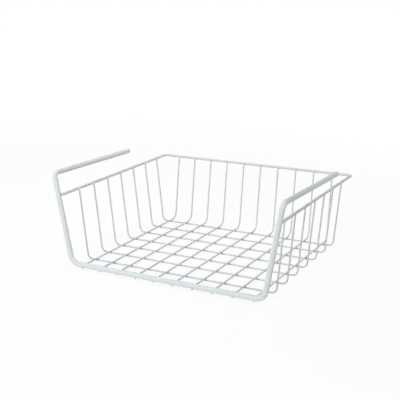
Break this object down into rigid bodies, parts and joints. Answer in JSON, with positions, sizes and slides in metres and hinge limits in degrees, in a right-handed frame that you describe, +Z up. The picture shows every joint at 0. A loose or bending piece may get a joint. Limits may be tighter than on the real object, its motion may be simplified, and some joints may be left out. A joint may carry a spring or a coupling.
{
  "type": "under shelf basket",
  "caption": "Open-fronted rectangular wire basket with flared walls and two rod arms that slide over a shelf board, so that it hangs below the shelf.",
  "frame": {"origin": "middle of the basket's outline seen from above, at the level of the floor wires' undersides", "axes": "+Z up, the open front towards -Y, +X to the right seen from the front"},
  "size_m": [0.302, 0.248, 0.1188],
  "materials": {
    "white_coating": "semi-gloss powder coating over steel wire"
  },
  "bodies": {
    "root": {"front_frame": "white_coating", "rim_wire": "white_coating", "cross_wire_1": "white_coating", "cross_wire_2": "white_coating", "cross_wire_3": "white_coating", "cross_wire_4": "white_coating", "cross_wire_5": "white_coating", "cross_wire_6": "white_coating", "cross_wire_7": "white_coating", "long_wire_1": "white_coating", "long_wire_2": "white_coating", "long_wire_3": "white_coating", "long_wire_4": "white_coating", "long_wire_5": "white_coating", "long_wire_6": "white_coating", "long_wire_7": "white_coating", "long_wire_8": "white_coating", "long_wire_9": "white_coating", "long_wire_10": "white_coating"}
  },
  "joints": []
}
